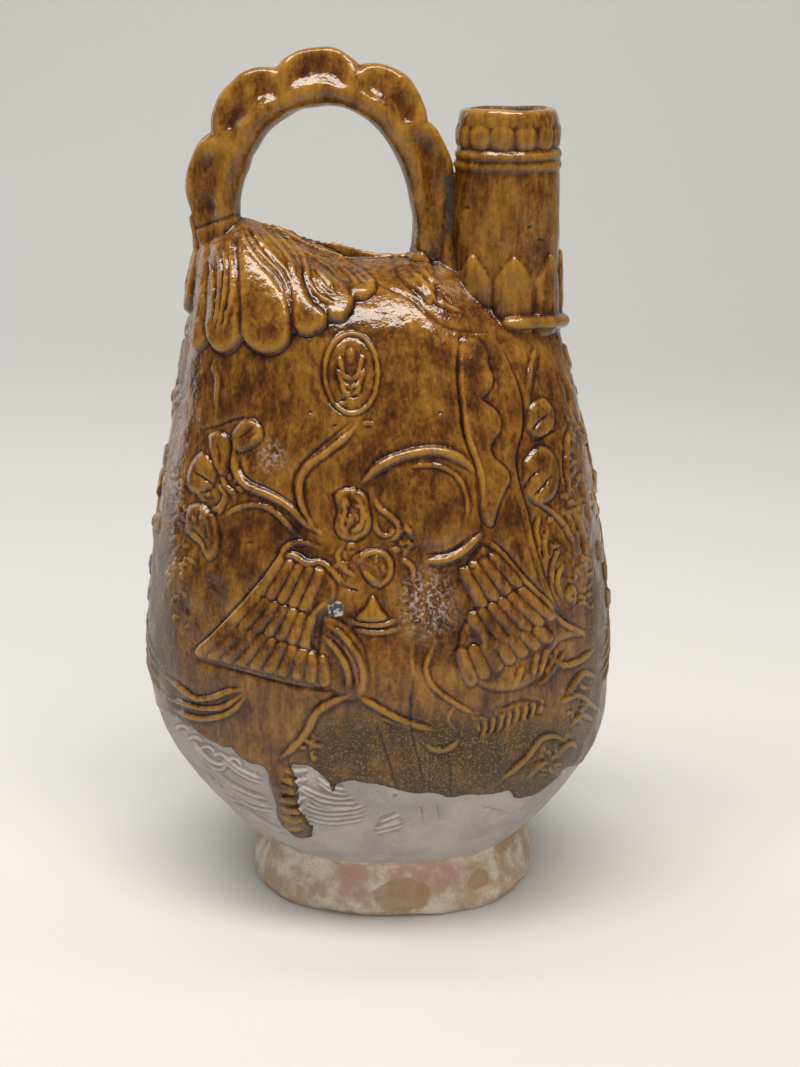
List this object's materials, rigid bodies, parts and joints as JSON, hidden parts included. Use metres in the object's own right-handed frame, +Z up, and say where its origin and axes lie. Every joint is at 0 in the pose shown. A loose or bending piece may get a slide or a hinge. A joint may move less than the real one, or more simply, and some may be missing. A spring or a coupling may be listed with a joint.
{
  "type": "pouch-shaped flask",
  "caption": "Pouch-shaped glazed earthenware flask with a saddle top, pinched loop handle, upright spout, relief-carved walls and an oval ring foot; holds and pours liquid.",
  "frame": {"origin": "on the ground, under the middle of the flask's box", "axes": "+Z up, -Y out of the carved front, +X towards the spout"},
  "size_m": [0.1678, 0.1306, 0.2998],
  "materials": {
    "glazed_earthenware": "glossy amber-brown lead glaze over white slip, bare buff clay at the foot"
  },
  "bodies": {
    "root": {"flask": "glazed_earthenware"}
  },
  "joints": []
}
